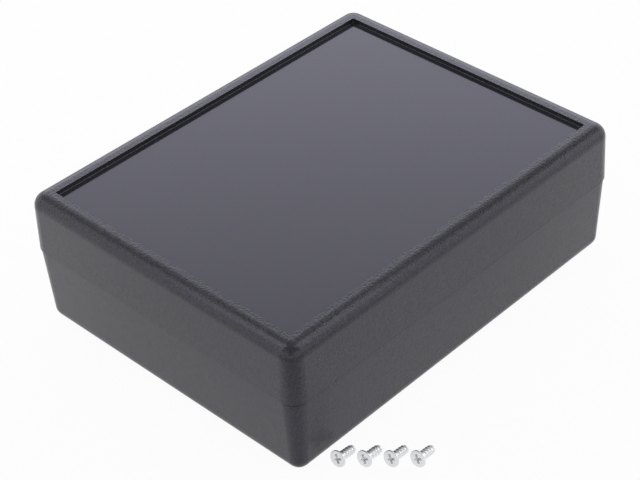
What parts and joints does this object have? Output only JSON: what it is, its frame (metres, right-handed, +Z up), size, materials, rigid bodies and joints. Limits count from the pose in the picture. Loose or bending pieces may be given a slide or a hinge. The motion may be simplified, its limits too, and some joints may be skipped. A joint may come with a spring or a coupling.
{
  "type": "plastic project box",
  "caption": "Black plastic instrument case: moulded base and lift-off cover with a sunk panel area, screw posts and board bosses inside, its thread-forming screws lying in front.",
  "frame": {"origin": "centre of the base's flat underside", "axes": "+X along the long side of the case, +Y along its short side, away from the screws, and +Z up, the way the cover lifts"},
  "size_m": [0.14, 0.1316, 0.046],
  "materials": {
    "case_plastic": "black ABS, spark-eroded outside, smooth panel area",
    "screw_zinc": "bright zinc plate"
  },
  "bodies": {
    "base": {"base_shell": "case_plastic", "case_screws": "screw_zinc"},
    "cover": {"cover_shell": "case_plastic"}
  },
  "joints": [
    {"name": "cover_lift", "type": "slide", "parent": "base", "child": "cover", "axis": [0, 0, 1], "range_m": [0, 0.045]}
  ]
}
